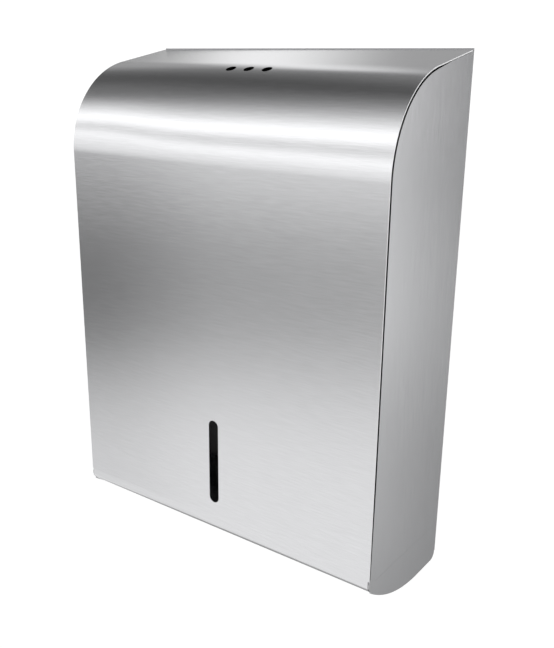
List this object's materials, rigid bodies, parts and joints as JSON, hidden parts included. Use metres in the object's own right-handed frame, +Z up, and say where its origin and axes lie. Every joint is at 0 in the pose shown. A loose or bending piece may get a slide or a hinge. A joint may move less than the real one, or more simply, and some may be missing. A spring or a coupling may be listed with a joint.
{
  "type": "interfold towel dispenser",
  "caption": "Wall-hung stainless interfold towel dispenser: curved hinged front cover with key latch and view slot, towel mouth in a curved underside.",
  "frame": {"origin": "centre of the four wall screws, on the rear face of the back plate", "axes": "+X to the right seen from the front, +Y into the wall, +Z up"},
  "size_m": [0.27, 0.104, 0.3756],
  "materials": {
    "case_steel": "satin, grain upright",
    "cover_steel": "satin, grain across",
    "plated_steel": "bright zinc",
    "spring_steel": "dark",
    "black_steel": "black, half matt",
    "nylon": "matte"
  },
  "bodies": {
    "case": {"back_plate": "case_steel", "left_side_panel": "case_steel", "right_side_panel": "case_steel", "dispensing_tray": "case_steel", "top_rail": "case_steel", "left_hinge_stud": "plated_steel", "right_hinge_stud": "plated_steel", "left_stud_clip": "spring_steel", "right_stud_clip": "spring_steel", "latch_bracket": "plated_steel", "latch_rivets": "plated_steel", "latch_pin": "plated_steel", "latch_pin_clip": "spring_steel", "latch_spring": "spring_steel"},
    "cover": {"front_cover": "cover_steel", "left_hinge_ear": "case_steel", "right_hinge_ear": "case_steel", "left_hinge_bush": "nylon", "right_hinge_bush": "nylon", "left_cover_stiffener": "case_steel", "right_cover_stiffener": "case_steel", "latch_keeper": "plated_steel"},
    "latch": {"latch_lever": "black_steel"}
  },
  "joints": [
    {"name": "cover_hinge", "type": "hinge", "parent": "case", "child": "cover", "pos_m": [0, -0.096, -0.1567], "axis": [1, 0, 0], "range_deg": [0, 70]},
    {"name": "latch_press", "type": "hinge", "parent": "case", "child": "latch", "pos_m": [0, -0.013, 0.15884], "axis": [1, 0, 0], "range_deg": [0, 8], "stiffness_Nm_per_rad": 0.6, "springref_deg": -11.46, "deforming": ["latch_spring"]}
  ]
}
